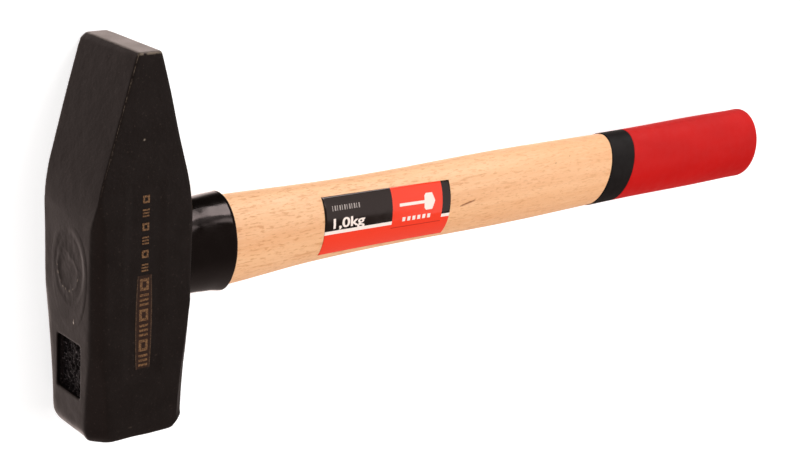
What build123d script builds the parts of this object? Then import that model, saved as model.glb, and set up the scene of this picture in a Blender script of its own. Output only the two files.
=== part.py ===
from build123d import *
import os

# Cross-pein hammer with a 1 kg forged head and a beech handle, in millimetres.
# +X runs along the handle from the head to the grip end, +Y points to the pein and +Z is up.
# The hammer lies on its lower cheek: z = 0 is that cheek's plane, straight under the eye's centre.

# --- Head ---
HEAD_LENGTH = 137.4  # striking face to pein land
FACE_Y = -60.9  # striking face, measured from the eye's centre
HEAD_DEPTH = 38.0  # crown to handle side
HEAD_WIDTH = 35.0  # cheek to cheek
PEIN_LAND = 7.6  # thickness of the flat ground across the pein
PEIN_CHAMFER = (0.72, 1.2)  # small chamfer beside the land, along X and Y
PEIN_ROOT_Y = 25.3  # where the pein's slopes meet the straight body
PEIN_ROOT_RADIUS = 75.0
FACET_DEPTH = 4.6  # corner facet at its deepest, measured along the diagonal
FACET_APEX_Y = -61.2  # where the facets' long hollow arc is deepest
FACET_RADIUS = 270.0
FACET_BLEND = 6.0  # rounding between a facet and the crown; at the handle side the edge is sharp
FACE_BEVEL = 2.2  # bevel round the striking face, measured on the face
FACE_BEVEL_RISE = 3.6  # and up the head's sides
PEIN_EDGE_FILLET = 0.5

# --- Shallow pocket in the crown ---
POCKET_LENGTH = 19.5  # along Y
POCKET_WIDTH = 16.0  # along Z
POCKET_DEPTH = 2.5
POCKET_Y = -36.2
POCKET_CORNER = 1.2

# --- Eye: half height (Y) and half width (Z) at its two mouths and its waist ---
EYE_CROWN = (14.3, 10.4)
EYE_WAIST = (13.0, 9.3)
EYE_BACK = (13.8, 9.9)
EYE_WAIST_X = 2.0
TONGUE_RECESS = 0.25  # the handle's end sits this far below the crown

# --- Wedges ---
KERF_DEPTH = 25.0
KERF_MOUTH = 3.6
KERF_ROOT = 1.0
RING_OUTER = 14.0
RING_INNER_TOP = 10.8
RING_INNER_TIP = 13.3
RING_LENGTH = 11.0
RING_Y = -1.9
RING_Z = -1.2  # from the handle's axis

# --- Handle: half height along its length, and the oval's width to height ratio ---
HANDLE_STATIONS = [
    (19.0, 16.55),
    (40.0, 16.65),
    (60.0, 16.15),
    (82.0, 15.40),
    (105.0, 15.05),
    (135.0, 15.35),
    (170.0, 15.80),
    (205.0, 15.90),
    (240.0, 15.45),
    (275.0, 15.50),
    (310.0, 15.90),
    (341.0, 16.30),
]
OVAL_RATIO = 0.69
END_ROUNDING = 7.0

# --- Guard sleeve ---
SLEEVE_LENGTH = 22.7
SLEEVE_WALL = 1.2
SLEEVE_RIM_FILLET = 0.9

# --- Dip coats and label ---
COAT = 0.30
BAND_START_X = 237.3  # on the handle's axis
BAND_WIDTH = 14.1
DIP_TILT = 13.5  # degrees; the hammer hung at a slant when it was dipped
LABEL = 0.15
LABEL_LENGTH = 62.4
LABEL_DROP = 23.2  # height of the label seen from above, before it wraps the oval
LABEL_CENTRE = (113.75, -0.3)
LABEL_TURN = -1.1  # degrees

HALF_DEPTH = HEAD_DEPTH / 2
PEIN_Y = FACE_Y + HEAD_LENGTH
AXIS_Z = HEAD_WIDTH / 2
HANDLE_END_X = HANDLE_STATIONS[-1][0]
NEAR = 0.01  # two places this close are the same
SLEEVE_END_X = HALF_DEPTH + SLEEVE_LENGTH


def across(x):
    """Sketch plane across the handle's axis at x: local x is +Y and local y is +Z."""
    return Plane(origin=(x, 0, AXIS_Z), x_dir=(0, 1, 0), z_dir=(1, 0, 0))


def oval(x, half_height, half_width):
    return across(x) * Ellipse(half_height, half_width)


def eye_plug():
    """The eye's hourglass, from the crown to the handle side."""
    front = loft([oval(-HALF_DEPTH, *EYE_CROWN), oval(EYE_WAIST_X, *EYE_WAIST)], ruled=True)
    back = loft([oval(EYE_WAIST_X, *EYE_WAIST), oval(HALF_DEPTH, *EYE_BACK)], ruled=True)
    return front + back


def tongue_plug():
    """The part of the eye that wood fills: all but a shallow recess at the crown."""
    return split(eye_plug(), bisect_by=across(-HALF_DEPTH + TONGUE_RECESS))


def handle_body(skin=0.0):
    """The handle behind the head, grown by skin all over, with its rounded end."""
    sections = [oval(x, half + skin, OVAL_RATIO * half + skin) for x, half in HANDLE_STATIONS[:-1]]
    end_x, end_half = HANDLE_STATIONS[-1]
    sections.append(oval(end_x + skin, end_half + skin, OVAL_RATIO * end_half + skin))
    body = loft(sections)
    end_edge = body.faces().sort_by(Axis.X)[-1].edges()
    return fillet(end_edge, END_ROUNDING + skin)


def head_blank():
    """Side profile of the head, extruded from cheek to cheek."""
    land = PEIN_LAND / 2
    right = [
        (HALF_DEPTH, FACE_Y),
        (HALF_DEPTH, PEIN_ROOT_Y),
        (land + PEIN_CHAMFER[0], PEIN_Y - PEIN_CHAMFER[1]),
        (land, PEIN_Y),
    ]
    left = [(-x, y) for x, y in reversed(right)]
    profile = make_face(Polyline(*right, *left, close=True))
    roots = [corner for corner in profile.vertices() if abs(corner.Y - PEIN_ROOT_Y) < NEAR]
    profile = fillet(roots, PEIN_ROOT_RADIUS)
    return extrude(profile, amount=HEAD_WIDTH)


def corner_facet(side_x, side_z):
    """Cutter for one long corner facet: a large disc that dips into the corner."""
    across_corner = Vector(side_z, 0, -side_x).normalized()
    plane = Plane(origin=(0, 0, AXIS_Z), x_dir=(0, 1, 0), z_dir=across_corner)
    corner = (HALF_DEPTH + AXIS_Z) / 2**0.5
    centre = Pos(FACET_APEX_Y, corner - FACET_DEPTH + FACET_RADIUS)
    return extrude(plane * centre * Circle(FACET_RADIUS), amount=HEAD_WIDTH / 2, both=True)


def pocket():
    shape = Pos(POCKET_Y, 0) * RectangleRounded(POCKET_LENGTH, POCKET_WIDTH, POCKET_CORNER)
    return extrude(across(-HALF_DEPTH) * shape, amount=POCKET_DEPTH)


def make_head():
    head = head_blank()
    for side_x in (-1, 1):
        for side_z in (-1, 1):
            head -= corner_facet(side_x, side_z)
    face = head.faces().sort_by(Axis.Y)[0]
    head = chamfer(face.edges(), FACE_BEVEL, FACE_BEVEL_RISE, reference=face)
    facet_edges = head.edges().filter_by(GeomType.ELLIPSE)
    blends = facet_edges.filter_by(lambda edge: abs(edge.center().X + HALF_DEPTH) < NEAR)
    head = fillet(blends, FACET_BLEND)
    cheek_edges = head.edges().filter_by(lambda edge: abs(abs(edge.center().Z - AXIS_Z) - AXIS_Z) < NEAR)
    pein_edges = cheek_edges.filter_by(lambda edge: edge.center().Y > PEIN_ROOT_Y)
    head = fillet(pein_edges, PEIN_EDGE_FILLET)
    return head - pocket() - eye_plug()


def kerf_slab():
    """Tapered slab across the tongue: the saw kerf, spread to the wooden wedge's shape."""
    mouth_x = -HALF_DEPTH + TONGUE_RECESS
    tall = 4 * EYE_CROWN[0]
    mouth = across(mouth_x) * Rectangle(tall, KERF_MOUTH)
    root = across(mouth_x + KERF_DEPTH) * Rectangle(tall, KERF_ROOT)
    return loft([mouth, root], ruled=True)


def make_ring_wedge():
    """Round steel wedge: a short tube with a straight outside and a sharp leading edge."""
    top_x = -HALF_DEPTH + TONGUE_RECESS
    outer = RING_OUTER / 2
    section = Polyline(
        (0, RING_INNER_TOP / 2),
        (0, outer),
        (RING_LENGTH, outer),
        (RING_LENGTH, RING_INNER_TIP / 2),
        close=True,
    )
    ring = revolve(make_face(section), Axis.X)
    return Pos(top_x, RING_Y, AXIS_Z + RING_Z) * ring


def make_kerf_wedge(ring):
    return (kerf_slab() & tongue_plug()) - ring


def make_handle(ring):
    tongue = tongue_plug() - kerf_slab() - ring
    return handle_body() + tongue


def make_guard_sleeve():
    """Tube against the head, following the neck's oval, with a rounded rim."""
    room = 3 * HEAD_WIDTH
    neck = Pos((HALF_DEPTH + SLEEVE_END_X) / 2, 0, AXIS_Z) * Box(SLEEVE_LENGTH, room, room)
    tube = handle_body(SLEEVE_WALL) & neck
    rim = tube.faces().sort_by(Axis.X)[-1].edges()
    return fillet(rim, SLEEVE_RIM_FILLET) - handle_body()


def beyond_dip_line(axis_x):
    """Everything on the grip side of a slanted dip line that crosses the axis at axis_x."""
    size = HANDLE_END_X
    block = Pos(size / 2, 0, 0) * Box(size, size, size)
    return Pos(axis_x, 0, AXIS_Z) * Rot(0, 0, -DIP_TILT) * block


def make_coats():
    """The black band and the red grip coat, two dipped films laid end to end."""
    film = handle_body(COAT) - handle_body()
    past_band = beyond_dip_line(BAND_START_X + BAND_WIDTH)
    band = (film & beyond_dip_line(BAND_START_X)) - past_band
    return band, film & past_band


def make_label():
    film = handle_body(LABEL) - handle_body()
    cut = Pos(*LABEL_CENTRE, AXIS_Z) * Rot(0, 0, LABEL_TURN) * Rectangle(LABEL_LENGTH, LABEL_DROP)
    return film & extrude(cut, amount=HEAD_WIDTH)


ring_wedge = make_ring_wedge()
grip_band, grip_coat = make_coats()
parts = {
    "hammer_head": make_head(),
    "handle": make_handle(ring_wedge),
    "kerf_wedge": make_kerf_wedge(ring_wedge),
    "ring_wedge": ring_wedge,
    "guard_sleeve": make_guard_sleeve(),
    "handle_label": make_label(),
    "grip_band": grip_band,
    "grip_coat": grip_coat,
}

os.makedirs("parts", exist_ok=True)
for name, shape in parts.items():
    export_step(shape, f"parts/{name}.step")
    print(name, len(shape.solids()), round(shape.volume, 1))
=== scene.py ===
import contextlib
import math

import bmesh
import bpy
import numpy as np
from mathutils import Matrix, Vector, noise


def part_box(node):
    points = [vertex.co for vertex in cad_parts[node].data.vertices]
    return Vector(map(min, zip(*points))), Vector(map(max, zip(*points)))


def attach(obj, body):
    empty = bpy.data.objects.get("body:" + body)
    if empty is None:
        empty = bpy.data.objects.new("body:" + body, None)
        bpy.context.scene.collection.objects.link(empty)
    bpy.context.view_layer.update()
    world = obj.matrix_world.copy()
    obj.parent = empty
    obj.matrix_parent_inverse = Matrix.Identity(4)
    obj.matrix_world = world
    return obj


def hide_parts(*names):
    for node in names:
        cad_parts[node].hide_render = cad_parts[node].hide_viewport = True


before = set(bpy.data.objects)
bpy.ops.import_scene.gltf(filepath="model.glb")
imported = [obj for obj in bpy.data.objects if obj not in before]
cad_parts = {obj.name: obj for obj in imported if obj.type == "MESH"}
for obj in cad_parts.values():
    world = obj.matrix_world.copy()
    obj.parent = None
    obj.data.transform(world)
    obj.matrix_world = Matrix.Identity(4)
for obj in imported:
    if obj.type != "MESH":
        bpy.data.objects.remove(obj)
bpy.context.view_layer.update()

# Cross-pein hammer lying on its lower cheek. +X runs to the grip end, +Y to the pein, +Z is up.
# Every size below is in millimetres unless it says otherwise; MM turns it into metres.

MM = 0.001
HAIR = 1e-3  # two places this close are the same
WELD = 1e-7  # in metres: a CAD mesh's points this close are one point
BODY = "root"
HEAD_LOW, HEAD_HIGH = (np.array(corner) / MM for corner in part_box("hammer_head"))
AXIS_Z = HEAD_HIGH[2] / 2
CROWN_X = HEAD_LOW[0]
BACK_X = HEAD_HIGH[0]
FACE_Y = HEAD_LOW[1]
PEIN_Y = HEAD_HIGH[1]
CHEEK_Z = HEAD_HIGH[2]
HANDLE_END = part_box("handle")[1].x / MM
SLEEVE_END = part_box("guard_sleeve")[1].x / MM


# --- Mesh helpers


def node_points(node):
    """A CAD node's vertices, in millimetres."""
    return np.array([vertex.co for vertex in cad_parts[node].data.vertices]) / MM


@contextlib.contextmanager
def edited(mesh):
    """A mesh as a bmesh, written back at the end."""
    shape = bmesh.new()
    shape.from_mesh(mesh)
    yield shape
    shape.to_mesh(mesh)
    shape.free()


def everything(shape):
    return shape.verts[:] + shape.edges[:] + shape.faces[:]


def new_object(name, data):
    result = bpy.data.objects.new(name, data)
    bpy.context.scene.collection.objects.link(result)
    return result


def new_piece(name, points, faces, materials, stands_for, slot):
    """A mesh object from points in millimetres, riding on the hammer's one body."""
    mesh = bpy.data.meshes.new(name)
    mesh.from_pydata((np.asarray(points) * MM).tolist(), [], faces)
    with edited(mesh) as shape:
        bmesh.ops.recalc_face_normals(shape, faces=shape.faces)
    return place(name, mesh, materials, stands_for, slot)


def place(name, mesh, materials, stands_for, slot, smooth=True):
    """Puts a finished mesh in the scene, with its materials, and hides the nodes it replaces; its slot
    is not used.
    """
    mesh.name = name
    mesh.materials.clear()
    for material in materials:
        mesh.materials.append(material)
    mesh.polygons.foreach_set("use_smooth", [smooth] * len(mesh.polygons))
    mesh.update()
    piece = new_object(name, mesh)
    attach(piece, BODY)
    if stands_for:
        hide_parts(*stands_for)
    return piece


def add_layer(mesh, name, values):
    """Gives each point of a mesh a value that its material reads by name."""
    layer = mesh.attributes.new(name, "FLOAT", "POINT")
    layer.data.foreach_set("value", np.asarray(values, float))


def ring_faces(count, size, gaps):
    """Quads across the gaps between rings of size points each; the ring after the last is the first."""
    faces = []
    for i in range(gaps):
        low, high = i * size, (i + 1) % count * size
        for j in range(size):
            k = (j + 1) % size
            faces.append((low + j, low + k, high + k, high + j))
    return faces


def skin(rings, first_cap, last_cap):
    """Points and faces of a surface through equal closed rings; a cap is a middle point or None."""
    rings = np.asarray(rings)
    count, size, _ = rings.shape
    points = rings.reshape(-1, 3).tolist()
    faces = ring_faces(count, size, count - 1)
    for cap, start, flip in ((first_cap, 0, True), (last_cap, (count - 1) * size, False)):
        if cap is None:
            continue
        points.append(cap)
        middle = len(points) - 1
        for j in range(size):
            a, b = start + j, start + (j + 1) % size
            faces.append((b, a, middle) if flip else (a, b, middle))
    return points, faces


def closed_loop(rings):
    """Points and faces of a tube wall whose last ring joins its first one again."""
    rings = np.asarray(rings)
    count, size, _ = rings.shape
    return rings.reshape(-1, 3), ring_faces(count, size, count)


def film(us, vs, place_on, lift, edge_round):
    """Points and faces of a closed thin sheet over a grid, and each face's middle (u, v).

    place_on(u, v, lift) gives the points in millimetres.
    """
    grid_u, grid_v = np.meshgrid(us, vs, indexing="ij")
    border = np.minimum.reduce([grid_u - us[0], us[-1] - grid_u, grid_v - vs[0], vs[-1] - grid_v])
    rise = np.clip(border / edge_round, 0, 1)
    top = place_on(grid_u, grid_v, lift * np.sqrt(rise * (2 - rise)))
    bottom = place_on(grid_u, grid_v, np.full_like(grid_u, -lift))
    rows, columns = grid_u.shape
    points = np.concatenate([top.reshape(-1, 3), bottom.reshape(-1, 3)])
    under = rows * columns
    faces, cells = [], []
    for i in range(rows - 1):
        for j in range(columns - 1):
            a, b = i * columns + j, (i + 1) * columns + j
            faces.append((a, b, b + 1, a + 1))
            faces.append((under + a + 1, under + b + 1, under + b, under + a))
            cells += [((us[i] + us[i + 1]) / 2, (vs[j] + vs[j + 1]) / 2)] * 2
    rim = [i * columns for i in range(rows)]
    rim += [(rows - 1) * columns + j for j in range(1, columns)]
    rim += [i * columns + columns - 1 for i in range(rows - 2, -1, -1)]
    rim += list(range(columns - 2, 0, -1))
    for a, b in zip(rim, rim[1:] + rim[:1]):
        faces.append((b, a, under + a, under + b))
        cells.append((0.0, 0.0))
    return points, faces, cells


def evaluated_mesh(holder):
    """The mesh that an object shows, after its modifiers; the object itself goes."""
    bpy.context.view_layer.update()
    depsgraph = bpy.context.evaluated_depsgraph_get()
    result = bpy.data.meshes.new_from_object(holder.evaluated_get(depsgraph))
    bpy.data.objects.remove(holder)
    return result


def cad_copy(node, voxel):
    """A CAD node's solid as an even fine mesh."""
    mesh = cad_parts[node].data.copy()
    with edited(mesh) as shape:
        bmesh.ops.remove_doubles(shape, verts=shape.verts, dist=WELD)
    holder = new_object(node + "_even", mesh)
    even = holder.modifiers.new("even", "REMESH")
    even.mode = "VOXEL"
    even.voxel_size = voxel * MM
    return evaluated_mesh(holder)


class Cloud:
    """A mesh's points in millimetres, to be moved as arrays."""

    def __init__(self, mesh):
        self.mesh = mesh
        flat = np.empty(len(mesh.vertices) * 3)
        mesh.vertices.foreach_get("co", flat)
        self.points = flat.reshape(-1, 3) / MM
        ends = np.empty(len(mesh.edges) * 2, dtype=np.int64)
        mesh.edges.foreach_get("vertices", ends)
        self.a, self.b = ends.reshape(-1, 2).T
        size = len(self.points)
        self.degree = np.bincount(self.a, minlength=size) + np.bincount(self.b, minlength=size)

    def neighbours(self, values):
        """Each point's mean over its neighbours of an array with one or more columns."""
        values = np.asarray(values, float)
        columns = values.reshape(len(values), -1).T
        size = len(values)
        sums = [
            np.bincount(self.a, column[self.b], size) + np.bincount(self.b, column[self.a], size)
            for column in columns
        ]
        return (np.array(sums) / self.degree).T.reshape(values.shape)

    def smooth(self, weight, rounds):
        """Moves each point that share of the way to its neighbours' mean, in each round."""
        weight = np.broadcast_to(np.asarray(weight, float), (len(self.points),))[:, None]
        for _ in range(rounds):
            self.points += weight * (self.neighbours(self.points) - self.points)

    def normals(self):
        self.write()
        flat = np.empty(len(self.mesh.vertices) * 3)
        self.mesh.vertices.foreach_get("normal", flat)
        return flat.reshape(-1, 3)

    def write(self):
        self.mesh.vertices.foreach_set("co", (self.points * MM).ravel())
        self.mesh.update()


def grain(points, size, seed=0.0):
    """Smooth noise from -1 to 1 at each point; size is its wavelength in millimetres."""
    scaled = points / size + seed
    return np.array([noise.noise(Vector(point)) for point in scaled])


def ease(values, low, high):
    """0 below low, 1 above high and a smooth step between."""
    t = np.clip((values - low) / (high - low), 0, 1)
    return t * t * (3 - 2 * t)


def bump_of(distance, width):
    """A smooth bump, 1 at distance 0."""
    return np.exp(-0.5 * (distance / width) ** 2)


# --- The handle's oval

PROFILE_DEGREE = 9
END_DOME = 6.0  # how far from the end the dome starts
DOME_OUTLINE = (0.52, 0.9)  # powers of its cosine across and its sine along; lower is squarer
NECK_SWELL = 1.0  # the neck is a little fuller on its face side, from the sleeve's rim on
NECK_START = (35.0, 42.0)
NECK_END = 82.0


def handle_profile():
    """Half height along X, from the CAD handle's +Y ridge, and the oval's width to height ratio."""
    x, y, z = node_points("handle").T
    tallest = y.max()
    on_wood = (x > BACK_X - HAIR) & (x < HANDLE_END - END_DOME)
    ridge = on_wood & (abs(z - AXIS_Z) < HAIR) & (y > 0.88 * tallest)
    profile = np.polynomial.Polynomial.fit(x[ridge], y[ridge], PROFILE_DEGREE)
    top = on_wood & (abs(y) < tallest / 20)
    return profile, float(np.max(abs(z[top] - AXIS_Z) / profile(x[top])))


PROFILE, OVAL_RATIO = handle_profile()
TURNS = np.linspace(0, math.pi, 721)
ARC_STEPS = np.hypot(np.diff(np.sin(TURNS)), OVAL_RATIO * np.diff(np.cos(TURNS)))
UNIT_ARC = np.concatenate([[0], np.cumsum(ARC_STEPS)])


def turn_at(arc, half):
    """Angle from the top of an oval of that half height at an arc length towards +Y."""
    return np.sign(arc) * np.interp(abs(arc) / half, UNIT_ARC, TURNS)


def oval(x, angle, lift=0.0, shrink=1.0):
    """Point on the handle's surface; angle 0 is its top, a quarter turn is its +Y ridge."""
    x, angle, lift, shrink = np.broadcast_arrays(x, angle, lift, shrink)
    half = PROFILE(np.clip(x, BACK_X, HANDLE_END - END_DOME))
    wide = OVAL_RATIO * half
    normal = np.stack([np.sin(angle) / half, np.cos(angle) / wide], axis=-1)
    normal /= np.linalg.norm(normal, axis=-1, keepdims=True)
    y = shrink * half * np.sin(angle) + lift * normal[..., 0]
    swell = NECK_SWELL * ease(x, *NECK_START) * ease(-x, -NECK_END, -SLEEVE_END)
    y = y - swell * np.clip(-np.sin(angle), 0, 1) ** 2
    z = AXIS_Z + shrink * wide * np.cos(angle) + lift * normal[..., 1]
    return np.stack([x, y, z], axis=-1)


def around(count):
    """Angles of that many even steps round the oval."""
    return np.arange(count) * 2 * math.pi / count


def dome_rings(angles, skin_lift, count=26):
    """Rings that close the grip end: an oval dome, END_DOME deep."""
    rings = []
    for t in np.linspace(0, 1, count)[1:-1]:
        shrink = math.cos(t * math.pi / 2) ** DOME_OUTLINE[0]
        rise = math.sin(t * math.pi / 2) ** DOME_OUTLINE[1]
        x = HANDLE_END - END_DOME + rise * (END_DOME + skin_lift)
        rings.append(oval(x, angles, skin_lift * shrink, shrink))
    return rings


# --- Materials


class Nodes:
    """A node tree, filled through short calls that take sockets or plain values."""

    def __init__(self, owner):
        owner.use_nodes = True
        self.nodes = owner.node_tree.nodes
        self.links = owner.node_tree.links

    def feed(self, socket, value):
        if isinstance(value, bpy.types.NodeSocket):
            self.links.new(value, socket)
        else:
            socket.default_value = value

    def add(self, kind, *values, **settings):
        """A node with its settings made and its first inputs fed."""
        node = self.nodes.new("ShaderNode" + kind)
        for key, value in settings.items():
            setattr(node, key, value)
        for socket, value in zip(node.inputs, values):
            self.feed(socket, value)
        return node

    def axes(self, place):
        return self.add("SeparateXYZ", place).outputs

    def math(self, operation, a, b):
        return self.add("Math", a, b, operation=operation).outputs[0]

    def times(self, a, b):
        return self.math("MULTIPLY", a, b)

    def less(self, a, b):
        return self.math("SUBTRACT", a, b)

    def ramp(self, value, low, high, out_low=0.0, out_high=1.0):
        """Smooth step from one output to the other as the value goes from low to high."""
        limits = (low, high, out_low, out_high)
        return self.add("MapRange", value, *limits, interpolation_type="SMOOTHSTEP").outputs[0]


class Shader(Nodes):
    """One Principled material. Its coordinates are the row frame's, in millimetres."""

    def __init__(self, name):
        self.material = bpy.data.materials.new(name)
        super().__init__(self.material)
        self.surface = self.nodes["Principled BSDF"]
        place_of = self.add("TexCoord")
        self.place = self.vector("MULTIPLY", place_of.outputs["Object"], (1 / MM,) * 3)
        self.x, self.y, self.z = self.axes(self.place)

    def vector(self, operation, a, b):
        return self.add("VectorMath", a, b, operation=operation).outputs[0]

    def noise(self, size, stretch=(1, 1, 1), detail=2.0, rough=0.5, offset=(0, 0, 0), warp=0.0):
        """Noise of a wavelength in millimetres, longer along an axis whose stretch is over 1."""
        scale = tuple(1 / (size * along) for along in stretch)
        node = self.add("TexNoise")
        for key, value in (
            ("Vector", self.vector("ADD", self.vector("MULTIPLY", self.place, scale), offset)),
            ("Scale", 1.0),
            ("Detail", detail),
            ("Roughness", rough),
            ("Distortion", warp),
        ):
            self.feed(node.inputs[key], value)
        return node.outputs["Fac"]

    def mix(self, factor, a, b):
        """Colour a at factor 0 and b at factor 1."""
        node = self.add("Mix", factor, data_type="RGBA")
        self.feed(node.inputs[6], a)
        self.feed(node.inputs[7], b)
        return node.outputs[2]

    def attribute(self, name):
        return self.add("Attribute", attribute_name=name).outputs["Fac"]

    def bump(self, height, depth, before=None):
        """Bump of a depth in millimetres, on top of an earlier bump if one is given."""
        node = self.add("Bump")
        self.feed(node.inputs["Strength"], 1.0)
        self.feed(node.inputs["Distance"], depth * MM)
        self.feed(node.inputs["Height"], height)
        if before is not None:
            self.feed(node.inputs["Normal"], before)
        return node.outputs[0]

    def finish(self, **inputs):
        """Feeds the Principled surface; an input's name has _ for each space."""
        for key, value in inputs.items():
            self.feed(self.surface.inputs[key.replace("_", " ")], value)
        return self.material


PAINT_IOR = 1.42
PAINT_SHEEN = (1.0, 0.80, 0.77, 1.0)
WHITE = (1, 1, 1, 1)
RAYS_FADE = (80.0, 230.0)  # beech rays are plain near the neck and faint near the band
LAMINATE_SHADE = 0.80  # the darker patches of an ink, as a share of its colour
FLOOR_GLOW = 0.76


def colour(red, green, blue):
    """A screen colour, 0 to 255, as the linear colour that shaders take."""
    channels = [value / 255 for value in (red, green, blue)]
    linear = [c / 12.92 if c <= 0.04045 else ((c + 0.055) / 1.055) ** 2.4 for c in channels]
    return (*linear, 1.0)


def forged_paint(name, worn):
    """Thin satin black lacquer on forged steel.

    If worn, its land is a lighter grey, partly thin paint and partly a painted sheen; its pocket is
    painted near black as shade, with painted glints on its floor; its edges and scrapes are rubbed
    lighter, partly wear and partly a painted highlight along the pein's crown edge, and bare in the
    deepest scrapes.
    """
    s = Shader(name)
    cloud = s.noise(9.0, detail=3.0)
    speck = s.ramp(s.noise(0.55, detail=3.0, rough=0.6), 0.58, 0.74)
    dust = s.ramp(s.noise(0.9, detail=1.0, offset=(7, 3, 1)), 0.66, 0.78)
    paint = s.mix(cloud, colour(14, 11, 9), colour(19, 15, 13))
    paint = s.mix(s.times(speck, 0.40), paint, colour(48, 40, 36))
    paint = s.mix(s.times(dust, 0.30), paint, colour(70, 60, 54))
    sand = s.bump(s.noise(0.8, detail=3.0, rough=0.6), 0.03)
    sand = s.bump(s.noise(3.5, detail=2.0), 0.04, sand)
    rough = s.ramp(cloud, 0.25, 0.75, 0.36, 0.46)
    if not worn:
        return s.finish(
            Base_Color=paint, Roughness=rough, Normal=sand, IOR=PAINT_IOR, Specular_Tint=PAINT_SHEEN
        )
    pocket_shade = s.attribute("pocket_shade")
    painted_glint = s.ramp(s.noise(0.8, detail=3.0, rough=0.7, offset=(2, 4, 6)), 0.56, 0.66)
    on_floor = s.ramp(pocket_shade, 0.70, 0.95)
    # the land's lighter grey is partly thin paint and partly a painted sheen standing in for its
    # grazing reflection
    thin = s.ramp(s.math("ADD", s.y, s.times(s.noise(1.2), 0.3)), PEIN_Y - 0.3, PEIN_Y)
    paint = s.mix(thin, paint, s.mix(s.noise(0.6, detail=3.0), colour(74, 66, 62), colour(104, 95, 88)))
    # painted shade: the pocket's walls and floor are coloured near black
    paint = s.mix(s.ramp(pocket_shade, 0.0, 0.5), paint, colour(13, 11, 12))
    # painted glints: light grey spots on the pocket's floor
    paint = s.mix(s.times(s.times(painted_glint, on_floor), 0.7), paint, colour(104, 96, 98))
    # the pocket's specular is lowered too, as painted shade, except at the glints
    dullness = s.less(0.40, s.times(painted_glint, 0.3))
    shine = s.less(0.5, s.times(pocket_shade, dullness))
    scuff_and_highlight = s.times(s.attribute("wear_and_highlight"), s.ramp(s.noise(1.6, detail=4.0), 0.28, 0.60))
    rubbed_and_highlit = s.ramp(scuff_and_highlight, 0.05, 0.55, 0.0, 0.85)
    # rubbed lighter: real wear at the scrapes and the tip, and a painted highlight along the pein's
    # crown edge
    paint = s.mix(rubbed_and_highlit, paint, colour(118, 106, 92))
    bare = s.ramp(scuff_and_highlight, 0.55, 0.95)
    grind = s.noise(0.25, stretch=(14, 1, 1), detail=2.0)
    steel = s.mix(grind, colour(205, 196, 188), colour(246, 240, 234))
    normal = s.bump(s.times(grind, bare), 0.008, sand)
    kept = s.less(1.0, bare)
    return s.finish(
        Base_Color=s.mix(bare, paint, steel),
        Metallic=s.times(bare, 0.9),
        Roughness=s.math("ADD", s.times(rough, kept), s.times(bare, 0.30)),
        Normal=normal,
        IOR=PAINT_IOR,
        Specular_IOR_Level=shine,
        Specular_Tint=s.mix(bare, PAINT_SHEEN, WHITE),
    )


def gloss_black(name):
    """Thick glossy black lacquer, with the faint waves and dust of a sprayed coat."""
    s = Shader(name)
    waves = s.bump(s.noise(3.2, detail=1.0), 0.012)
    dust = s.ramp(s.noise(0.4, detail=2.0), 0.70, 0.80)
    base = s.mix(s.noise(12.0), colour(11, 8, 7), colour(17, 13, 11))
    base = s.mix(s.times(dust, 0.25), base, colour(90, 82, 78))
    rough = s.ramp(s.noise(5.0, detail=3.0), 0.3, 0.7, 0.10, 0.20)
    return s.finish(Base_Color=base, Roughness=rough, Normal=waves, IOR=1.38, Specular_Tint=PAINT_SHEEN)


def beech(name):
    """Clear lacquered beech: soft growth bands, short dark rays along the grain and fine pores."""
    s = Shader(name)
    drift = s.noise(70.0, stretch=(3, 1, 1), detail=2.0)
    bands = s.noise(5.5, stretch=(26, 1.6, 1), detail=4.0, rough=0.55, warp=0.35)
    silk = s.noise(0.9, stretch=(9, 1, 1), detail=3.0, offset=(3, 9, 5))
    rays = s.ramp(s.noise(0.75, stretch=(4.5, 1, 1), detail=2.0, rough=0.6), 0.55, 0.66)
    flecks = s.noise(1.5, stretch=(7, 1, 1), detail=3.0, rough=0.6, offset=(11, 2, 8))
    long_rays = s.ramp(flecks, 0.58, 0.72)
    pores = s.ramp(s.noise(0.22, stretch=(12, 1, 1), detail=1.0, offset=(5, 5, 1)), 0.62, 0.72)
    wood = s.mix(s.ramp(bands, 0.30, 0.70), colour(240, 180, 130), colour(250, 198, 150))
    wood = s.mix(s.times(s.ramp(drift, 0.4, 0.7), 0.5), wood, colour(246, 186, 136))
    wood = s.mix(s.times(s.ramp(silk, 0.5, 0.75), 0.30), wood, colour(253, 208, 164))
    strong = s.ramp(s.x, *RAYS_FADE, 0.60, 0.34)
    wood = s.mix(s.times(rays, strong), wood, colour(214, 142, 88))
    wood = s.mix(s.times(long_rays, strong), wood, colour(216, 146, 92))
    wood = s.mix(s.times(pores, 0.28), wood, colour(190, 126, 82))
    wood = s.mix(s.attribute("nick"), wood, colour(150, 88, 44))
    hollows = s.math("ADD", rays, s.times(pores, 0.6))
    relief = s.less(s.times(bands, 0.4), hollows)
    rough = s.ramp(s.noise(2.5, stretch=(4, 1, 1), detail=3.0), 0.3, 0.7, 0.38, 0.52)
    return s.finish(Base_Color=wood, Roughness=rough, Normal=s.bump(relief, 0.02), IOR=1.46)


def printed_film(name, ink, spread):
    """One ink of the label, with a slightly uneven print and a semi-gloss laminate over it."""
    s = Shader(name)
    print_noise = s.noise(0.35, detail=2.0)
    patch = s.noise(14.0, detail=2.0)
    shade = s.math("ADD", s.times(print_noise, spread), s.times(patch, spread))
    deep = (*(channel * LAMINATE_SHADE for channel in ink[:3]), 1.0)
    rough = s.ramp(s.noise(6.0, detail=3.0), 0.3, 0.7, 0.04, 0.08)
    return s.finish(
        Base_Color=s.mix(shade, ink, deep),
        Roughness=rough,
        Normal=s.bump(s.noise(6.0, detail=1.0), 0.006),
        IOR=1.42,
        Specular_Tint=PAINT_SHEEN,
    )


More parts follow.
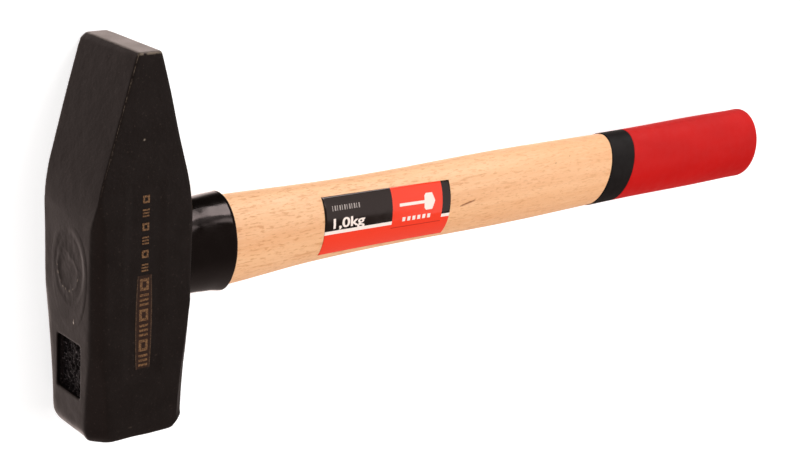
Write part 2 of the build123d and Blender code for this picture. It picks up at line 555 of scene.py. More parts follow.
def dipped_lacquer(name, light, dark):
    """Dipped matt coat over wood: smooth lacquer in which the grain just shows."""
    s = Shader(name)
    flow = s.noise(16.0, stretch=(2.5, 1, 1), detail=2.0)
    grain_under = s.noise(1.0, stretch=(10, 1, 1), detail=3.0)
    peel = s.noise(1.4, detail=2.0)
    base = s.mix(s.ramp(flow, 0.3, 0.7), light, dark)
    base = s.mix(s.times(s.ramp(grain_under, 0.45, 0.75), 0.12), base, dark)
    normal = s.bump(peel, 0.012, s.bump(grain_under, 0.012))
    rough = s.ramp(s.noise(4.0, detail=3.0), 0.3, 0.7, 0.55, 0.66)
    return s.finish(Base_Color=base, Roughness=rough, Normal=normal, IOR=1.30)


def gilt_ink(name, ink, thin_ink):
    """Bronze ink in the stamp, thin and brown in spots."""
    s = Shader(name)
    thin = s.ramp(s.noise(0.5, detail=3.0), 0.42, 0.60)
    return s.finish(
        Base_Color=s.mix(thin, thin_ink, ink),
        Metallic=0.2,
        Roughness=s.ramp(s.noise(0.8), 0.3, 0.7, 0.45, 0.60),
        Normal=s.bump(s.noise(0.4, detail=2.0), 0.02),
    )


def studio_floor(name):
    """Pale light table: a matt sheet that also glows softly."""
    s = Shader(name)
    mottled = s.mix(s.noise(300.0), (0.50, 0.50, 0.50, 1), (0.52, 0.52, 0.52, 1))
    return s.finish(
        Base_Color=mottled,
        Roughness=0.9,
        IOR=1.3,
        Normal=s.bump(s.noise(1.5), 0.02),
        Emission_Color=WHITE,
        Emission_Strength=FLOOR_GLOW,
    )


HEAD_PAINT = forged_paint("forged_paint", worn=True)
EYE_PAINT = forged_paint("eye_paint", worn=False)
SLEEVE_PAINT = gloss_black("sleeve_lacquer")
BEECH = beech("beech")
INK_BLACK = printed_film("ink_black", colour(31, 24, 21), 0.5)
INK_RED = printed_film("ink_red", colour(254, 68, 44), 0.2)
INK_DEEP_RED = printed_film("ink_deep_red", colour(200, 46, 30), 0.2)
INK_WHITE = printed_film("ink_white", colour(255, 240, 230), 0.1)
INK_GREY = printed_film("ink_grey", colour(170, 160, 155), 0.2)
BAND_LACQUER = dipped_lacquer("band_lacquer", colour(22, 17, 16), colour(17, 13, 12))
COAT_LACQUER = dipped_lacquer("coat_lacquer", colour(199, 12, 9), colour(191, 9, 7))
GILT = gilt_ink("gilt_ink", colour(132, 96, 62), colour(84, 56, 34))
GILT_LINE = gilt_ink("gilt_line", colour(88, 66, 48), colour(60, 42, 30))
GILT_GROUND = gilt_ink("gilt_ground", colour(50, 27, 14), colour(38, 20, 11))


# --- Head

HEAD_VOXEL = 0.36
SMOOTHING = 0.5  # share of the way to the neighbours' mean in each round
EDGE_ROUNDING = 4.6  # crown to cheek, beside the eye; the pein's edge is sharp
FACETS_FULLER = ((1, 1, 1.35), (-1, -1, 0.25), (-1, 1, 0.7))  # side x, side z, how much fuller
BEVEL_FULLER = 1.4  # the bevel round the face is that much fuller along the upper cheek
POCKET_SIDE_Y = 9.75
POCKET_SIDE_Z = 8.0
POCKET_Y = -36.2
POCKET_FLOOR_X = CROWN_X + 2.5
POCKET_ROOM = 1.5  # how far round the pocket its sharp rim is left alone
EYE_ROOM = (17.0, 12.5)  # half height and half width of the same round the eye
MARK_LOW = (-5.0, -37.0)  # the sunk field of the cheek mark, x and y
MARK_HIGH = (5.0, 30.0)
MARK_BORDER = 3.5
MARK_DEPTH = 0.13
DENT_DEPTH = 0.06
DENT_REACH = 1.3  # where a small mark ends, in its half lengths
CHEEK_SCRAPES = [  # x, y, half length along x, half length along y, how bare
    (-1.2, 47.1, 0.40, 0.40, 0.9),
    (-8.4, -56.8, 1.6, 0.30, 0.22),
    (-3.8, -56.2, 1.9, 0.35, 0.26),
    (1.8, -55.2, 1.6, 0.30, 0.22),
]
CROWN_SCRAPES = [  # y, z, half length along y, half length along z, how bare
    (-18.7, AXIS_Z + 3.3, 1.0, 0.36, 1.6),
    (-21.6, AXIS_Z + 3.6, 0.5, 0.25, 0.5),
]


def forged(points):
    """How far a forged surface lies outside its true shape; nearly always negative."""
    broad = 0.10 * (grain(points, 19.0) - 0.6)
    middle = 0.035 * (grain(points, 4.5, 11.0) - 0.7)
    fine = 0.018 * (grain(points, 1.3, 23.0) - 0.8)
    return broad + middle + fine


def small_mark(mark, along, across):
    """How far each point is inside a small oval mark, 0 to 1, and how bare the mark is."""
    centre_a, centre_b, half_a, half_b, bare = mark
    away = np.hypot((along - centre_a) / half_a, (across - centre_b) / half_b)
    return np.clip(DENT_REACH - away, 0, 1), bare


def scrape(cloud, wear_and_highlight, along, across, where, marks):
    """Dents small bare marks; along and across are the columns their sizes run in."""
    normals = cloud.normals()
    for mark in marks:
        dent, bare = small_mark(mark, along, across)
        dent = dent * where
        cloud.points -= normals * (DENT_DEPTH * dent)[:, None]
        wear_and_highlight = np.maximum(wear_and_highlight, bare * dent)
    return wear_and_highlight


def fill_facets(cloud):
    """Moves corner facets and the upper bevel outwards, never past the head's box."""
    normals = cloud.normals()
    toward_face = ease(-cloud.points[:, 1], 5, 35)
    for side_x, side_z, rise in FACETS_FULLER:
        outward = np.array([side_x, 0, side_z]) / math.sqrt(2)
        facing = ease(normals @ outward, 0.80, 0.93)
        cloud.points += outward * (rise * toward_face * facing)[:, None]
    y = cloud.points[:, 1]
    on_bevel = ease(-normals[:, 1], 0.25, 0.40) * ease(normals[:, 1], -0.90, -0.75)
    on_bevel *= ease(-y, -FACE_Y - 6, -FACE_Y - 4) * ease(normals[:, 2], 0.0, 0.3)
    cloud.points += normals * (BEVEL_FULLER * on_bevel)[:, None]
    cloud.points = np.clip(cloud.points, HEAD_LOW, HEAD_HIGH)


def round_crown_edge(cloud):
    """Rolls the crown over to the cheek beside the eye, in place of a sharp edge."""
    x, y, z = cloud.points.T
    radius = EDGE_ROUNDING * ease(-y, -42, -12) + HAIR
    from_crown = np.clip(radius - (x - CROWN_X), 0, None)
    from_cheek = np.clip(radius - (CHEEK_Z - z), 0, None)
    reach = np.hypot(from_crown, from_cheek)
    outside = (from_crown > 0) & (from_cheek > 0) & (reach > radius)
    share = np.where(outside, radius / np.maximum(reach, HAIR), 1)
    cloud.points[:, 0] = np.where(outside, CROWN_X + radius - from_crown * share, x)
    cloud.points[:, 2] = np.where(outside, CHEEK_Z - radius + from_cheek * share, z)


def soften_edges(cloud, from_axis):
    """Rolls over the edges that forging leaves round; from_axis is each point's distance in Z."""
    x, y, z = cloud.points.T
    near_eye = np.hypot(y / EYE_ROOM[0], from_axis / EYE_ROOM[1]) < 1
    near_pocket = (abs(y - POCKET_Y) < POCKET_SIDE_Y + POCKET_ROOM) & (x < 0)
    near_pocket &= from_axis < POCKET_SIDE_Z + POCKET_ROOM
    free = ~near_eye & ~near_pocket
    cloud.smooth(SMOOTHING * ease(-y, -20, 5) * ease(-x, -4, 4) * free, 10)
    cloud.smooth(SMOOTHING * ease(-y, 8, 22) * ease(-x, -4, 4) * (z > AXIS_Z + 2) * free, 30)
    cloud.smooth(SMOOTHING * ease(-y, -FACE_Y - 8, -FACE_Y - 4), 5)
    from_face_corner = np.hypot(x - CROWN_X, y - FACE_Y)
    cloud.smooth(SMOOTHING * ease(-from_face_corner, -8, -5) * ease(-z, -26, -12), 36)
    from_low_tip = np.hypot(PEIN_Y - y, z)
    cloud.smooth(SMOOTHING * ease(-from_low_tip, -4.5, -2.5), 10)


def swell_pein(points):
    """The pein's slopes are a little fuller than flat: the crown's most along the lower cheek."""
    x, y, z = points.T
    crown_belly = (0.75 + 0.5 * ease(y, 30, 60)) * ease(y, 8, 34) * (1 - z / CHEEK_Z) * (x < 0)
    crown_belly *= ease(-y, -PEIN_Y, 2.2 - PEIN_Y)
    back_belly = 0.75 * ease(y, 44, 66) * (x > 0)
    points[:, 0] += back_belly - crown_belly


def edge_wear_and_highlight(points, normals):
    """How much lighter the paint is made along the pein's upper crown edge, partly wear and partly a
    painted highlight, and how worn it is across its tip.
    """
    _, y, z = points.T
    # painted highlight along the pein's crown edge, where its rounding catches light, with some real
    # wear in it
    ridge = bump_of(normals[:, 2] - 0.72, 0.12) * (z > CHEEK_Z - 1.2) * (normals[:, 0] < -0.3)
    wear_and_highlight = ridge * (0.34 + 0.20 * ease(y, 35, 78)) * ease(y, 20, 36)
    tip_edge = bump_of(y - PEIN_Y + 0.5, 0.35) * ease(z, CHEEK_Z - 1.2, CHEEK_Z - 0.4)
    return np.maximum(wear_and_highlight, 0.55 * tip_edge)


def roughen_pocket(points, normals, from_axis):
    """Grits the pocket's floor; the result, 1 on the floor, less on the walls and 0 elsewhere, is how
    much the pocket is painted dark as shade.
    """
    x, y, _ = points.T
    in_pocket = (abs(y - POCKET_Y) < POCKET_SIDE_Y + 0.2) & (from_axis < POCKET_SIDE_Z + 0.2)
    floor = in_pocket & (abs(x - POCKET_FLOOR_X) < 0.7)
    pocket_shade = in_pocket * ease(x, CROWN_X + 0.7, CROWN_X + 1.6) * (x < 0)
    pocket_shade = pocket_shade * np.where(normals[:, 0] < -0.7, 1.0, 0.6)
    grit = 0.6 * grain(points, 1.9, 31.0) + 0.4 * grain(points, 1.0, 37.0)
    points[floor, 0] -= 0.3 + 1.1 * grit[floor]
    return pocket_shade


def sink_mark(points, normals):
    """Sinks the cheek a little where the bronze mark is stamped, with soft borders."""
    inside = (normals[:, 2] > 0.9) * 1.0
    for value, low, high in zip(points.T, MARK_LOW, MARK_HIGH):
        inside *= ease(value, low - MARK_BORDER, low) * ease(-value, -high - MARK_BORDER, -high)
    points[:, 2] -= MARK_DEPTH * inside


def make_head():
    """The forging: its edges rolled and worn, with a painted highlight along the pein's crown edge, its
    skin uneven, its pocket painted dark as shade, its land ground flat.
    """
    cloud = Cloud(cad_copy("hammer_head", HEAD_VOXEL))
    fill_facets(cloud)
    round_crown_edge(cloud)
    cloud.smooth(SMOOTHING, 3)
    from_axis = abs(cloud.points[:, 2] - AXIS_Z)
    soften_edges(cloud, from_axis)
    swell_pein(cloud.points)
    normals = cloud.normals()
    points = cloud.points
    x, y, z = points.T
    wear_and_highlight = edge_wear_and_highlight(points, normals)
    ground = ease(y, PEIN_Y - 1.4, PEIN_Y - 0.3)
    points += normals * (forged(points) * (1 - 0.9 * ground))[:, None]
    pocket_shade = roughen_pocket(points, normals, from_axis)
    sink_mark(points, normals)
    wear_and_highlight = scrape(cloud, wear_and_highlight, x, y, z > CHEEK_Z - 2.0, CHEEK_SCRAPES)
    wear_and_highlight = scrape(cloud, wear_and_highlight, y, z, x < CROWN_X + 0.6, CROWN_SCRAPES)
    cloud.points = np.clip(cloud.points, HEAD_LOW, HEAD_HIGH)
    cloud.write()
    add_layer(cloud.mesh, "wear_and_highlight", wear_and_highlight)
    add_layer(cloud.mesh, "pocket_shade", pocket_shade)
    place("hammer_head_forged", cloud.mesh, [HEAD_PAINT], ["hammer_head"], "head_steel")


EYE_HALF = (14.3, 10.4)
RING_CENTRE = (-1.9, AXIS_Z - 1.2)
RING_RADIUS = 6.7
RIM_DROP = 1.55  # the swollen rim runs on towards the pocket, past the eye's own oval
KERF_HALF = 1.8
EYE_DEPTH = 0.55
FILM_SIZES = (0.02, 1.25)  # the eye film's first and last ring, in the eye's own half sizes
FILM_DROP = 1.36  # how much longer the film is towards the pocket


def cut_behind_head(mesh):
    """Keeps only the handle's tongue, closed with a flat cap at the head's back."""
    plane = {"plane_co": (BACK_X * MM, 0, 0), "plane_no": (1, 0, 0), "clear_outer": True}
    with edited(mesh) as shape:
        sliced = bmesh.ops.bisect_plane(shape, geom=everything(shape), **plane)
        rim = [part for part in sliced["geom_cut"] if isinstance(part, bmesh.types.BMEdge)]
        bmesh.ops.holes_fill(shape, edges=rim)


def make_eye_pieces():
    """What stands in the eye: wood and wedges, their ends a little below the crown."""
    for node, name, slot, voxel in (
        ("handle", "tongue", "handle_wood", 0.30),
        ("kerf_wedge", "kerf_wedge_driven", "wedge_wood", 0.22),
        ("ring_wedge", "ring_wedge_driven", "wedge_steel", 0.20),
    ):
        mesh = cad_copy(node, voxel)
        if node == "handle":
            cut_behind_head(mesh)
        cloud = Cloud(mesh)
        cloud.smooth(SMOOTHING, 3)
        cloud.points[:, 0] = np.maximum(cloud.points[:, 0], CROWN_X + EYE_DEPTH)
        cloud.write()
        place(name, cloud.mesh, [EYE_PAINT], [node], slot)


def eye_relief(reach, y, z):
    """Height of the paint over the eye: a swollen rim, a hollow, and the wedges' faint traces.

    reach is 1 at the eye's rim.
    """
    cheek_side = ease((z - AXIS_Z) / EYE_HALF[1], -0.4, 0.8)
    half_height = np.where(y < 0, EYE_HALF[0] * RIM_DROP, EYE_HALF[0])
    along_rim = np.hypot(y / half_height, (z - AXIS_Z) / EYE_HALF[1])
    rim = 0.085 * cheek_side * bump_of(along_rim - 1.03, 0.075) * ease(y, -23, -9)
    rim += 0.03 * (1 - cheek_side) * bump_of(reach - 1.02, 0.06)
    hollow = -0.20 * ease(-reach, -0.98, -0.80)
    shoulder = 0.12 * bump_of(reach - 0.76, 0.12) * (1 - cheek_side)
    from_ring = np.hypot(y - RING_CENTRE[0], z - RING_CENTRE[1])
    spots = np.stack([0 * y, y, z], axis=-1).reshape(-1, 3)
    rough = grain(spots, 1.7, 41.0).reshape(y.shape)
    lumps = grain(spots, 4.0, 43.0).reshape(y.shape)
    ring = (0.06 + 0.06 * rough) * bump_of(from_ring - RING_RADIUS, 0.8)
    dish = -0.05 * ease(-from_ring, -RING_RADIUS, -4.0)
    kerf = -0.018 * bump_of(abs(z - AXIS_Z) - KERF_HALF, 0.45) * ease(from_ring, 6.5, 8.0)
    inside = ease(-reach, -1.0, -0.85)
    return rim + hollow + inside * (shoulder + ring + dish + kerf + 0.02 * rough + 0.03 * lumps)


def make_eye_paint():
    """Lacquer over the eye, which fills the joints and laps onto the crown around them."""
    angles = around(240)
    stretch = np.where(np.cos(angles) < 0, FILM_DROP, 1.0)
    rings = []
    for size in np.linspace(*FILM_SIZES, 84):
        y = size * EYE_HALF[0] * np.cos(angles) * stretch
        z = AXIS_Z + size * EYE_HALF[1] * np.sin(angles)
        flat = np.stack([np.full_like(y, CROWN_X), y, z], axis=1)
        over = 0.025 - 0.10 * ease(size, 1.10, FILM_SIZES[1])
        reach = np.hypot(y / EYE_HALF[0], (z - AXIS_Z) / EYE_HALF[1])
        height = forged(flat) + eye_relief(reach, y, z) + over
        flat[:, 0] = np.maximum(CROWN_X - height, CROWN_X)
        rings.append(flat)
    under = rings[-1].copy()
    under[:, 0] = CROWN_X + EYE_DEPTH
    rings.append(under)
    top = rings[0].mean(axis=0).tolist()
    points, faces = skin(rings, top, (CROWN_X + EYE_DEPTH, 0, AXIS_Z))
    piece = new_piece("eye_paint_film", points, faces, [HEAD_PAINT], (), "head_steel")
    points = np.array(points)
    y, z = points[:, 1], points[:, 2]
    from_ring = np.hypot(y - RING_CENTRE[0], z - RING_CENTRE[1])
    # painted highlight: lighter spots along the face-side half of the ring wedge's trace
    spots = ease(grain(points, 1.4, 53.0), 0.05, 0.3) * (y < 0)
    wear_and_highlight = 0.45 * bump_of(from_ring - RING_RADIUS, 0.45) * spots
    for mark in CROWN_SCRAPES:
        inside, bare = small_mark(mark, y, z)
        wear_and_highlight = np.maximum(wear_and_highlight, bare * inside)
    add_layer(piece.data, "wear_and_highlight", wear_and_highlight)


# --- Handle

RING_GAP = 0.5
SHOULDER = (0.80, 0.90)  # the rings that close the handle's flat shoulder, against the head
NICK_X = (150.0, 158.5)
NICK_Y = (-0.9, 0.7)  # its centre line at those two ends
NICK_WIDTH = 0.55
NICK_DEPTH = 0.45


def nick_depth(x, y, z):
    """A small pointed nick in the handle's upper side, from 0 at its edge to 1 at its bottom."""
    along = (x - NICK_X[0]) / (NICK_X[1] - NICK_X[0])
    centre_line = NICK_Y[0] + (NICK_Y[1] - NICK_Y[0]) * along
    width = NICK_WIDTH * np.sqrt(np.clip(4 * along * (1 - along), 0, 1))
    return np.clip(1 - abs(y - centre_line) / np.maximum(width, HAIR), 0, 1) * (z > AXIS_Z)


def make_handle():
    """Turned and sanded beech: the CAD oval, a domed end and one small nick."""
    angles = around(256)
    rings = [oval(BACK_X, angles, 0.0, shrink) for shrink in SHOULDER]
    for x in np.arange(BACK_X, HANDLE_END - END_DOME, RING_GAP):
        rings.append(oval(x, angles))
    rings += dome_rings(angles, 0.0)
    rings = np.array(rings)
    points, faces = skin(rings, (BACK_X, 0, AXIS_Z), (HANDLE_END, 0, AXIS_Z))
    points = np.array(points)
    x, y, z = points.T
    outward = np.stack([0 * x, y, (z - AXIS_Z) / OVAL_RATIO**2], axis=1)
    outward /= np.maximum(np.linalg.norm(outward, axis=1, keepdims=True), HAIR)
    planed = 0.05 * (grain(points / (4, 1, 1), 9.0) - 1)
    planed += 0.02 * (grain(points / (3, 1, 1), 2.5, 5.0) - 1)
    nick = nick_depth(x, y, z)
    points += outward * (planed - NICK_DEPTH * np.minimum(nick * 1.6, 1))[:, None]
    piece = new_piece("handle_beech", points, faces, [BEECH], ["handle"], "handle_wood")
    add_layer(piece.data, "nick", np.clip(nick * 1.5, 0, 0.9))


SLEEVE_FLARE = 0.55
SLEEVE_ROLL = 1.1  # length of the rolled rim
SLEEVE_CURL = 0.12  # how far above the wood it ends
SLEEVE_TUCK = 0.8  # drawn in towards the head on the pein side
UNDER_SLEEVE = -0.15  # its bore lies this little under the wood's surface, to show no gap


def make_sleeve():
    """Drawn steel tube whose rim is rolled in to the wood."""
    angles = around(192)
    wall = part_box("guard_sleeve")[1].y / MM - PROFILE(np.linspace(BACK_X, SLEEVE_END, 50)).max()
    roll_start = SLEEVE_END - SLEEVE_ROLL
    pein_side = ease(np.sin(angles), -0.4, 1.0)
    rings = []
    for x in np.arange(BACK_X, roll_start, 0.6):
        flare = SLEEVE_FLARE * ease(x, BACK_X + 4, roll_start)
        tuck = SLEEVE_TUCK * (SLEEVE_END - x) / (SLEEVE_END - BACK_X) * pein_side
        rings.append(oval(x, angles, wall + flare - tuck))
    for t in np.linspace(0, math.pi / 2, 14):
        lift = SLEEVE_CURL + (wall + SLEEVE_FLARE - SLEEVE_CURL) * math.cos(t)
        rings.append(oval(roll_start + SLEEVE_ROLL * math.sin(t), angles, lift))
    outer = np.array(rings)
    flat = outer.reshape(-1, 3)
    waves = 0.15 * (grain(flat, 9.0, 3.0) - 0.5) + 0.02 * (grain(flat, 3.0, 9.0) - 0.5)
    middle = np.array([0, 0, AXIS_Z])
    pull = (outer - middle) * (0, 1, 1)
    pull /= np.linalg.norm(pull, axis=2, keepdims=True)
    outer = outer + pull * waves.reshape(outer.shape[:2])[:, :, None]
    inner = [oval(x, angles, UNDER_SLEEVE) for x in np.linspace(SLEEVE_END, BACK_X, 12)]
    points, faces = closed_loop(np.concatenate([outer, inner]))
    new_piece("guard_sleeve_drawn", points, faces, [SLEEVE_PAINT], ["guard_sleeve"], "sleeve_steel")


# --- Label

LABEL_LENGTH = 62.8
LABEL_HEIGHT = 24.0
LABEL_X = 82.4
LABEL_ARC = 12.7
LABEL_TURN = math.radians(-1.7)
LABEL_FILM = 0.12
LABEL_RIM = 0.2  # the film's edge is rounded over that width
PANEL_U = (33.0, 58.4)  # the red panel
STRIPE_V = (13.3, 14.7)  # the white stripe beside it
PANEL_EDGE_LINE_V = (16.1, 16.45)  # the darker red line along the panel's lower edge


def on_label(u, v, lift):
    """u runs along the label from its head end, v down from its upper edge."""
    x = LABEL_X + u * math.cos(LABEL_TURN) + v * math.sin(LABEL_TURN)
    arc = LABEL_ARC + u * math.sin(LABEL_TURN) - v * math.cos(LABEL_TURN)
    return oval(x, turn_at(arc, PROFILE(x)), lift)


def fine_steps(marks, gap):
    """Numbers through every mark, about gap apart."""
    steps = [marks[0]]
    for low, high in zip(marks, marks[1:]):
        count = max(1, round((high - low) / gap))
        steps += [low + (high - low) * i / count for i in range(1, count + 1)]
    return np.array(steps)


def label_ink(u, v):
    """Index of the ink printed at a place on the label: black, red, deep red or white."""
    if PANEL_U[0] < u < PANEL_U[1]:
        return 2 if PANEL_EDGE_LINE_V[0] < v < PANEL_EDGE_LINE_V[1] else 1
    if v < STRIPE_V[0]:
        return 0
    return 3 if v < STRIPE_V[1] else 1


def make_label():
    us = fine_steps((0.0, LABEL_RIM, *PANEL_U, LABEL_LENGTH - LABEL_RIM, LABEL_LENGTH), 0.8)
    inner_v = (LABEL_RIM, *STRIPE_V, *PANEL_EDGE_LINE_V, LABEL_HEIGHT - LABEL_RIM)
    vs = fine_steps((0.0, *inner_v, LABEL_HEIGHT), 0.6)
    points, faces, cells = film(us, vs, on_label, LABEL_FILM, LABEL_RIM)
    inks = [INK_BLACK, INK_RED, INK_DEEP_RED, INK_WHITE]
    piece = new_piece("label_printed", points, faces, inks, ["handle_label"], "label_film")
    piece.data.polygons.foreach_set("material_index", [label_ink(*cell) for cell in cells])


def plates(rectangles):
    """Flat mesh of rectangles given as (low u, low v, high u, high v)."""
    points, faces = [], []
    for low_u, low_v, high_u, high_v in rectangles:
        start = len(points)
        points += [(low_u, low_v, 0), (high_u, low_v, 0), (high_u, high_v, 0), (low_u, high_v, 0)]
        faces.append((start, start + 1, start + 2, start + 3))
    mesh = bpy.data.meshes.new("plates")
    mesh.from_pydata(points, [], faces)
    return mesh


def box_outline(low_u, low_v, high_u, high_v, line):
    """Four rectangles that draw a hollow box."""
    return [
        (low_u, low_v, high_u, low_v + line),
        (low_u, high_v - line, high_u, high_v),
        (low_u, low_v + line, low_u + line, high_v - line),
        (high_u - line, low_v + line, high_u, high_v - line),
    ]


INK_CELL = 0.8
INK_THICKNESS = 0.03


def ink(name, flat, material, lay_on, low, high, slot):
    """A layer of ink from a flat mesh in millimetres, cut fine so that it follows its surface."""
    with edited(flat) as shape:
        bmesh.ops.dissolve_limit(shape, angle_limit=0.01, verts=shape.verts, edges=shape.edges)
        for axis, way in enumerate((Vector((1, 0, 0)), Vector((0, 1, 0)))):
            values = [vertex.co[axis] for vertex in shape.verts]
            for level in np.arange(min(values), max(values), INK_CELL)[1:]:
                plane = {"plane_co": way * level, "plane_no": way}
                bmesh.ops.bisect_plane(shape, geom=everything(shape), **plane)
        for vertex in shape.verts:
            vertex.co.z = low
        raised = bmesh.ops.extrude_face_region(shape, geom=shape.faces[:], use_keep_orig=True)
        for part in raised["geom"]:
            if isinstance(part, bmesh.types.BMVert):
                part.co.z = high
        bmesh.ops.recalc_face_normals(shape, faces=shape.faces)
        flats = np.array([vertex.co for vertex in shape.verts])
        laid = lay_on(flats[:, 0], flats[:, 1], flats[:, 2]) * MM
        for vertex, spot in zip(shape.verts, laid):
            vertex.co = spot
        bmesh.ops.recalc_face_normals(shape, faces=shape.faces)
    place(name, flat, [material], (), slot, smooth=False)


def text_outline(words, size, left, width, foot, spread):
    """Flat mesh of some figures, stretched or squeezed to a width."""
    curve = bpy.data.curves.new("words", "FONT")
    curve.body = words
    curve.size = size
    curve.offset = spread
    flat = evaluated_mesh(new_object("words", curve))
    across = [vertex.co.x for vertex in flat.vertices]
    stretch = width / (max(across) - min(across))
    for vertex in flat.vertices:
        vertex.co = (left + stretch * (vertex.co.x - min(across)), foot - vertex.co.y, 0)
    return flat


def hammer_sign(left, top, length, height):
    """Plain hammer pictogram: a handle, a head and its pein."""
    right, middle, half = left + length, top + height / 2, height / 2
    neck = right - 5.4
    side = [(left, 0.6), (neck, 0.6), (neck, half - 0.9), (neck + 0.8, half), (right - 1.4, half)]
    points = [(u, middle - v) for u, v in side] + [(right, middle)]
    points += [(u, middle + v) for u, v in reversed(side)]
    mesh = bpy.data.meshes.new("hammer_sign")
    mesh.from_pydata([(u, v, 0) for u, v in points], [], [tuple(range(len(points)))])
    return mesh


def upright_marks(first, pitch, count, widths, low_v, high_v):
    """Marks in a row along the label, their widths taken by turns."""
    starts = [first + pitch * i for i in range(count)]
    return [(u, low_v, u + widths[i % len(widths)], high_v) for i, u in enumerate(starts)]


def make_label_print():
    """The weight in figures, a row of ticks, a hammer sign and a row of dashes."""
    ticks = upright_marks(3.8, 1.15, 12, (0.35, 0.60), 3.9, 5.8)
    dashes = upright_marks(38.2, 2.55, 6, (1.5,), 12.3, 14.0)
    for name, flat, material in (
        ("label_weight", text_outline("1,0kg", 5.2, 4.0, 15.2, 12.4, 0.12), INK_WHITE),
        ("label_small_ticks", plates(ticks), INK_GREY),
        ("label_sign", hammer_sign(36.5, 4.0, 18.0, 6.6), INK_WHITE),
        ("label_dashes", plates(dashes), INK_WHITE),
    ):
        ink(name, flat, material, on_label, 0.0, LABEL_FILM + INK_THICKNESS, "label_film")


# --- Dip coats

DIP_SLOPE = math.tan(math.radians(13.5))
BAND_X = (237.3, 251.4)  # on the handle's axis
BAND_SHARE = 0.96  # the band is a little thinner than the coat
COAT = 0.28
COAT_SWELL = 0.7  # the film reaches its full thickness that far from its edge
COAT_ROOT = -0.12  # how far its hidden side lies in the wood


def dip_line(axis_x, angles):
    """X of a slanted dip line round the handle."""
    return axis_x + DIP_SLOPE * oval(axis_x, angles)[:, 1]


def edge_lift(distance):
    """Thickness of a dipped film that swells from its edge."""
    t = np.clip(distance / COAT_SWELL, 0, 1)
    return COAT * np.sqrt(t * (2 - t))


def make_band():
    """Black ring between two dip lines."""
    angles = around(192)
    start, end = dip_line(BAND_X[0], angles), dip_line(BAND_X[1], angles)
    rings = []
    for t in fine_steps((0.0, 0.06, 0.94, 1.0), 0.012):
        x = start + (end - start) * t
        rings.append(oval(x, angles, edge_lift(x - start) * BAND_SHARE))
    rings += [oval(start + (end - start) * t, angles, COAT_ROOT) for t in np.linspace(1, 0, 8)]
    points, faces = closed_loop(rings)
    new_piece("grip_band_dipped", points, faces, [BAND_LACQUER], ["grip_band"], "band_paint")


def make_coat():
    """Red coat from the band over the domed end; its hidden side stops halfway."""
    angles = around(192)
    start = dip_line(BAND_X[1], angles)
    end = np.full_like(start, HANDLE_END - END_DOME)
    rings = [oval(start + (end - start) * t, angles, COAT_ROOT) for t in np.linspace(0.5, 0, 8)]
    for t in fine_steps((0.0, 0.01, 1.0), 0.006):
        x = start + (end - start) * t
        rings.append(oval(x, angles, edge_lift(x - start)))
    rings += dome_rings(angles, COAT)
    points, faces = skin(rings, None, (HANDLE_END + COAT, 0, AXIS_Z))
    new_piece("grip_coat_dipped", points, faces, [COAT_LACQUER], ["grip_coat"], "coat_paint")


# --- Cheek mark

MARK_TOP = CHEEK_Z - 0.09
MARK_ROOT = CHEEK_Z - 0.45
MARK_LAYER = 0.01  # the lines lie that far under the signs, and the ground under the lines
SIGNS = 6
SIGN_ROW = (2.15, 4.86, 2.7, 2.6, 0.7)  # first centre, pitch, length in Y, width in X and line
BLOCK_ROW = (-31.8, 5.58, 4.3, 3.5, 1.0)
MARK_X = 0.1
FRAME_LOW = (-3.15, -34.8)
FRAME_HIGH = (3.3, -0.6)
FRAME_LINE = 0.38
FRAME_BOW = 0.5


def on_cheek(u, v, height):
    return np.stack([u, v, height], axis=-1)


def on_bowed_cheek(u, v, height):
    """The cheek, with the frame's long sides bowed outwards."""
    t = (2 * v - FRAME_LOW[1] - FRAME_HIGH[1]) / (FRAME_HIGH[1] - FRAME_LOW[1])
    middle = (FRAME_LOW[0] + FRAME_HIGH[0]) / 2
    reach = (u - middle) / (FRAME_HIGH[0] - middle)
    return on_cheek(u - FRAME_BOW * t * t * reach, v, height)


def row_of_signs(first, pitch, length, width, line):
    """Three bars and a hollow box by turns, along Y."""
    drawn = []
    stroke = length / 5
    for i in range(SIGNS):
        low_y = first + pitch * i - length / 2
        corners = (MARK_X - width / 2, low_y, MARK_X + width / 2, low_y + length)
        if i % 2:
            drawn += box_outline(*corners, line)
        else:
            for start in low_y + stroke * np.array([0, 2, 4]):
                drawn.append((corners[0], start, corners[2], start + stroke))
    return drawn


def make_cheek_mark():
    """A generic bronze stamp: a row of signs, and a framed row of them on a brown ground."""
    signs = row_of_signs(*SIGN_ROW) + row_of_signs(*BLOCK_ROW)
    lines = [
        (FRAME_LOW[0], FRAME_LOW[1], FRAME_LOW[0] + FRAME_LINE, FRAME_HIGH[1]),
        (FRAME_HIGH[0] - FRAME_LINE, FRAME_LOW[1], FRAME_HIGH[0], FRAME_HIGH[1]),
    ]
    ground = [(*FRAME_LOW, *FRAME_HIGH)]
    for name, flats, material, lay_on, top in (
        ("cheek_mark_ground", ground, GILT_GROUND, on_bowed_cheek, MARK_TOP - 2 * MARK_LAYER),
        ("cheek_mark_lines", lines, GILT_LINE, on_bowed_cheek, MARK_TOP - MARK_LAYER),
        ("cheek_mark_signs", signs, GILT, on_cheek, MARK_TOP),
    ):
        ink(name, plates(flats), material, lay_on, MARK_ROOT, top, "head_steel")


# --- Studio

CAMERA_PLACE = (-278.55, 196.1, 478.8)
CAMERA_TURN = (-22.24, -39.92, 5.40)
CAMERA_LENS = 73.6
FLOOR_HALF = 3.0  # in metres, like the next size
LIGHT_DISTANCE = 2.0
SURROUND = 0.07
SURROUND_TINT = (1, 0.84, 0.79, 1)


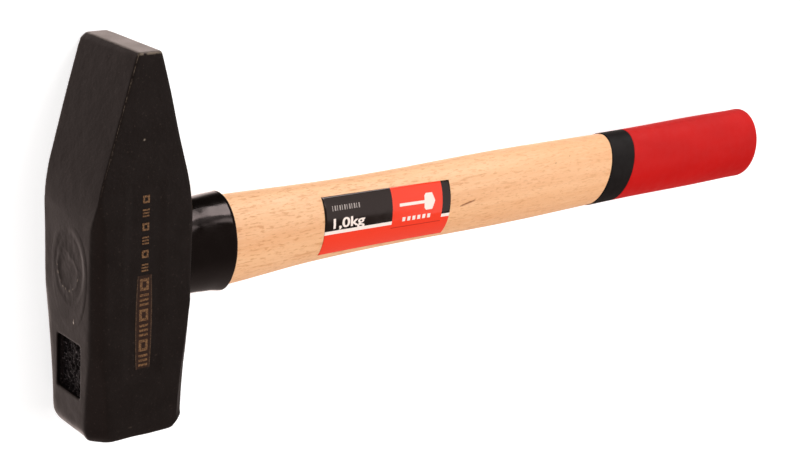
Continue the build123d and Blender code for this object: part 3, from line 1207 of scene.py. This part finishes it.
def make_floor():
    """Pale floor that glossy surfaces don't mirror: from below they see the world's card."""
    mesh = bpy.data.meshes.new("studio_floor")
    corners = [(FLOOR_HALF * x, FLOOR_HALF * y, 0) for x, y in ((-1, -1), (1, -1), (1, 1), (-1, 1))]
    mesh.from_pydata(corners, [], [(0, 1, 2, 3)])
    mesh.materials.append(studio_floor("studio_floor"))
    floor = new_object("studio_floor", mesh)
    floor.visible_glossy = False


def soft_light(name, azimuth, elevation, spread, radiance, mirrored=True):
    """Softbox facing the hammer, its direction and half angles in degrees.

    A light that isn't mirrored only lights: glossy surfaces don't show it.
    """
    light = bpy.data.lights.new(name, "AREA")
    light.shape = "RECTANGLE"
    light.size, light.size_y = (2 * LIGHT_DISTANCE * math.tan(math.radians(half)) for half in spread)
    light.energy = radiance * light.size * light.size_y * math.pi
    turn, rise = math.radians(azimuth), math.radians(elevation)
    flat = math.cos(rise)
    away = Vector((flat * math.cos(turn), flat * math.sin(turn), math.sin(rise)))
    holder = new_object(name, light)
    holder.location = away * LIGHT_DISTANCE
    holder.rotation_euler = away.to_track_quat("Z", "Y").to_euler()
    holder.visible_glossy = mirrored


def make_world():
    """Dim surround, a card below brighter towards +X, and glows at the face's and crown's sides."""
    world = bpy.data.worlds.new("studio")
    w = Nodes(world)
    x, y, z = w.axes(w.add("TexCoord").outputs["Generated"])
    below = w.ramp(z, -0.50, -0.74, SURROUND, 1.0)
    card = w.ramp(x, -0.85, 0.3, 0.22, 2.1)
    near_side = w.ramp(y, 0.28, 0.60, 1.0, 0.12)
    face_side = w.ramp(y, -0.45, -0.90, 0.0, 0.25)
    above = w.ramp(z, -0.62, -0.25, 0.0, 1.0)
    crown_side = w.times(w.ramp(x, 0.35, -0.7, 0.0, 0.27), above)
    sides = w.math("ADD", face_side, crown_side)
    strength = w.math("ADD", w.times(w.times(below, card), near_side), sides)
    background = w.nodes["Background"]
    w.feed(background.inputs["Strength"], strength)
    w.feed(background.inputs["Color"], SURROUND_TINT)
    bpy.context.scene.world = world


def make_camera():
    camera = bpy.data.cameras.new("camera")
    camera.lens = CAMERA_LENS
    camera.clip_start = 0.01
    holder = new_object("camera", camera)
    holder.location = Vector(CAMERA_PLACE) * MM
    holder.rotation_euler = [math.radians(angle) for angle in CAMERA_TURN]
    bpy.context.scene.camera = holder


make_head()
make_eye_pieces()
make_eye_paint()
make_handle()
make_sleeve()
make_label()
make_label_print()
make_band()
make_coat()
make_cheek_mark()

make_floor()
soft_light("key", 56, 21.5, (9, 13.5), 8.9)
soft_light("upper", 16, 42, (34, 10.2), 1.0)
soft_light("strip", 41, 46.2, (7.5, 3.8), 3.0)
soft_light("overhead", 30, 66, (22, 22), 2.6, mirrored=False)
soft_light("fill", -105, 22, (25, 18), 2.1, mirrored=False)
make_world()
make_camera()
bpy.context.scene.view_settings.view_transform = "Standard"
